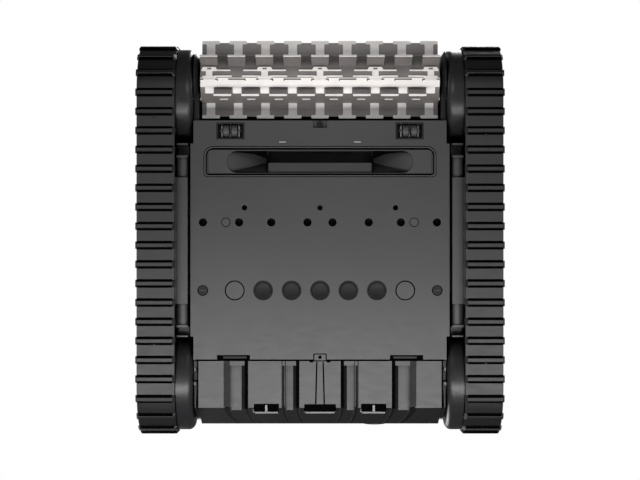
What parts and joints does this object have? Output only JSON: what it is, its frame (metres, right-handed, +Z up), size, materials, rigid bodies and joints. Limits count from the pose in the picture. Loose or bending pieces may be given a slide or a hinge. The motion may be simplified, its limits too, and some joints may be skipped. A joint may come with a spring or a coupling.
{
  "type": "pool cleaner",
  "caption": "Tracked robotic pool cleaner with a finned roller brush, a suction mouth, a lift-out filter cartridge, belt tracks on both sides and a carry handle.",
  "frame": {"origin": "on the floor, under the middle of the cleaner", "axes": "+X to the right side, -Y to the front where the brush is, +Z up"},
  "size_m": [0.4, 0.4379, 0.24],
  "materials": {
    "charcoal_plastic": "fine grained moulding",
    "black_plastic": "smooth satin moulding",
    "shell_plastic": "glossy dark blue grey",
    "cover_plastic": "satin grey",
    "basket_plastic": "satin grey",
    "track_rubber": "moulded rubber",
    "soft_rubber": "smooth rubber",
    "brush_rubber": "warm pale grey moulded rubber",
    "plug_plastic": "mid grey",
    "screw_plastic": "dark grey",
    "steel": "turned and ground",
    "motor_metal": "painted motor case",
    "bearing_plastic": "smooth white polymer",
    "battery_film": "shrink film",
    "board_green": "potted board",
    "foam": "closed cell foam",
    "lens": "diffusing lens",
    "window_grey": "tinted window",
    "mesh_plastic": "fine woven mesh",
    "button_plastic": "satin key cap",
    "impeller_plastic": "moulded rotor"
  },
  "bodies": {
    "chassis": {"bottom_plate": "charcoal_plastic", "suction_panel": "charcoal_plastic", "rear_lower_cover": "charcoal_plastic", "main_hull": "black_plastic", "hull_seal": "soft_rubber", "top_shell": "shell_plastic", "brush_hood": "black_plastic", "left_side_frame": "charcoal_plastic", "right_side_frame": "charcoal_plastic", "left_side_panel": "charcoal_plastic", "right_side_panel": "charcoal_plastic", "left_track": "track_rubber", "right_track": "track_rubber", "wheel_axles": "steel", "axle_caps": "charcoal_plastic", "drive_motors": "motor_metal", "shaft_seals": "soft_rubber", "battery_pack": "battery_film", "control_box": "board_green", "pump_motor": "motor_metal", "pump_duct": "black_plastic", "outlet_grille": "black_plastic", "carry_handle": "black_plastic", "handle_grip": "soft_rubber", "foam_floats": "foam", "charge_port": "black_plastic", "status_lens": "lens", "plate_screws": "screw_plastic", "front_screw": "screw_plastic", "blanking_plugs": "plug_plastic", "drain_plugs": "plug_plastic", "drain_valves": "soft_rubber", "brush_bearings": "bearing_plastic", "roller_boxes": "black_plastic", "sensor_windows": "window_grey", "latch_bars": "charcoal_plastic", "flap_pin": "steel"},
    "left_front_wheel": {"left_front_wheel": "black_plastic"},
    "left_rear_wheel": {"left_rear_wheel": "black_plastic"},
    "right_front_wheel": {"right_front_wheel": "black_plastic"},
    "right_rear_wheel": {"right_rear_wheel": "black_plastic"},
    "left_motor_pinion": {"left_motor_pinion": "steel"},
    "right_motor_pinion": {"right_motor_pinion": "steel"},
    "brush": {"brush_sleeve": "brush_rubber", "brush_core": "screw_plastic", "brush_pinion": "bearing_plastic", "brush_locks": "brush_rubber"},
    "inlet_flap": {"inlet_flap": "soft_rubber"},
    "impeller": {"impeller": "impeller_plastic"},
    "filter_cartridge": {"filter_cover": "cover_plastic", "filter_basket": "basket_plastic", "basket_side_walls": "basket_plastic", "basket_end_walls": "basket_plastic", "filter_mesh": "mesh_plastic"},
    "bail": {"bail_handle": "black_plastic"},
    "power_button": {"power_button": "button_plastic"},
    "port_cap": {"port_cap": "soft_rubber"},
    "left_support_rollers": {"left_support_rollers": "plug_plastic"},
    "right_support_rollers": {"right_support_rollers": "plug_plastic"}
  },
  "joints": [
    {"name": "left_rear_wheel_spin", "type": "hinge", "parent": "chassis", "child": "left_rear_wheel", "pos_m": [0, 0.1625, 0.0565], "axis": [1, 0, 0], "continuous": true},
    {"name": "right_rear_wheel_spin", "type": "hinge", "parent": "chassis", "child": "right_rear_wheel", "pos_m": [0, 0.1625, 0.0565], "axis": [1, 0, 0], "continuous": true},
    {"name": "left_front_wheel_spin", "type": "hinge", "parent": "chassis", "child": "left_front_wheel", "pos_m": [0, -0.1585, 0.0565], "axis": [1, 0, 0], "continuous": true},
    {"name": "right_front_wheel_spin", "type": "hinge", "parent": "chassis", "child": "right_front_wheel", "pos_m": [0, -0.1585, 0.0565], "axis": [1, 0, 0], "continuous": true},
    {"name": "left_motor_pinion_spin", "type": "hinge", "parent": "chassis", "child": "left_motor_pinion", "pos_m": [0, 0.1517, 0.07521], "axis": [1, 0, 0], "continuous": true},
    {"name": "right_motor_pinion_spin", "type": "hinge", "parent": "chassis", "child": "right_motor_pinion", "pos_m": [0, 0.1517, 0.07521], "axis": [1, 0, 0], "continuous": true},
    {"name": "brush_spin", "type": "hinge", "parent": "chassis", "child": "brush", "pos_m": [0, -0.17575, 0.0435], "axis": [1, 0, 0], "continuous": true},
    {"name": "inlet_flap_hinge", "type": "hinge", "parent": "chassis", "child": "inlet_flap", "pos_m": [0, -0.079, 0.0508], "axis": [-1, 0, 0], "range_deg": [0, 70]},
    {"name": "impeller_spin", "type": "hinge", "parent": "chassis", "child": "impeller", "pos_m": [0, 0.124, 0.16], "axis": [0, 0, 1], "continuous": true},
    {"name": "filter_lift", "type": "slide", "parent": "chassis", "child": "filter_cartridge", "axis": [0, 0, 1], "range_m": [0, 0.165]},
    {"name": "bail_hinge", "type": "hinge", "parent": "filter_cartridge", "child": "bail", "pos_m": [0, -0.04, 0.204], "axis": [1, 0, 0], "range_deg": [0, 90]},
    {"name": "power_button_press", "type": "slide", "parent": "chassis", "child": "power_button", "axis": [0, 0, -1], "range_m": [0, 0.0015], "stiffness_N_per_m": 400, "springref_m": -0.0003},
    {"name": "port_cap_hinge", "type": "hinge", "parent": "chassis", "child": "port_cap", "pos_m": [0.062, 0.2109, 0.108], "axis": [1, 0, 0], "range_deg": [0, 110]},
    {"name": "left_support_roller_spin", "type": "hinge", "parent": "chassis", "child": "left_support_rollers", "pos_m": [0, -0.117, 0.019], "axis": [1, 0, 0], "continuous": true},
    {"name": "right_support_roller_spin", "type": "hinge", "parent": "chassis", "child": "right_support_rollers", "pos_m": [0, -0.117, 0.019], "axis": [1, 0, 0], "continuous": true}
  ],
  "couplings": [
    {"joint": "left_front_wheel_spin", "follows": "left_rear_wheel_spin", "ratio": 1},
    {"joint": "left_motor_pinion_spin", "follows": "left_rear_wheel_spin", "ratio": 2.9286},
    {"joint": "brush_spin", "follows": "left_rear_wheel_spin", "ratio": 2.9286},
    {"joint": "right_front_wheel_spin", "follows": "right_rear_wheel_spin", "ratio": 1},
    {"joint": "right_motor_pinion_spin", "follows": "right_rear_wheel_spin", "ratio": 2.9286}
  ]
}
